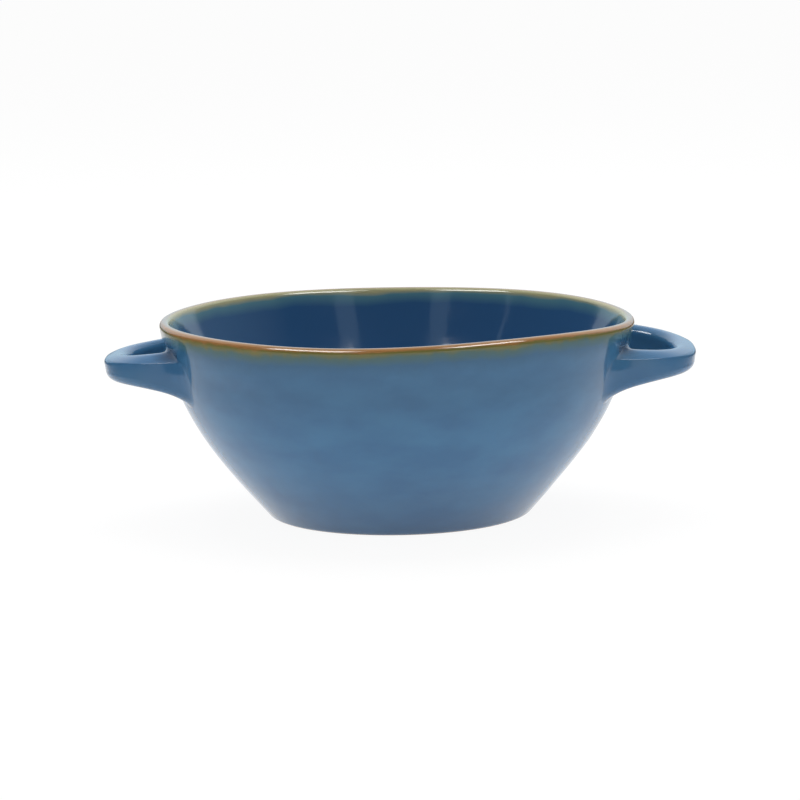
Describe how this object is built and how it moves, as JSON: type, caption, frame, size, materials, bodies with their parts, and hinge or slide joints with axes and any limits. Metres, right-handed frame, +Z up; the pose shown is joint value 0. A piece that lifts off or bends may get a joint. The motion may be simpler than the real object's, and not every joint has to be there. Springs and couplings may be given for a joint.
{
  "type": "lug soup bowl",
  "caption": "Glazed stoneware soup bowl with a full-round lip, flared wall, turned foot ring and a loop lug luted to each side for carrying.",
  "frame": {"origin": "middle of the plane that the foot ring rests on, on the bowl's axis", "axes": "+Z up the bowl's axis, +X along the lugs to the right lug, front at -Y"},
  "size_m": [0.175, 0.14, 0.059],
  "materials": {
    "glazed_stoneware": "glossy blue reactive glaze that breaks to olive and rust on the lip, bare clay under the foot ring"
  },
  "bodies": {
    "root": {"bowl_body": "glazed_stoneware", "left_lug_handle": "glazed_stoneware", "right_lug_handle": "glazed_stoneware", "left_front_slip_joint": "glazed_stoneware", "left_rear_slip_joint": "glazed_stoneware", "right_front_slip_joint": "glazed_stoneware", "right_rear_slip_joint": "glazed_stoneware"}
  },
  "joints": []
}
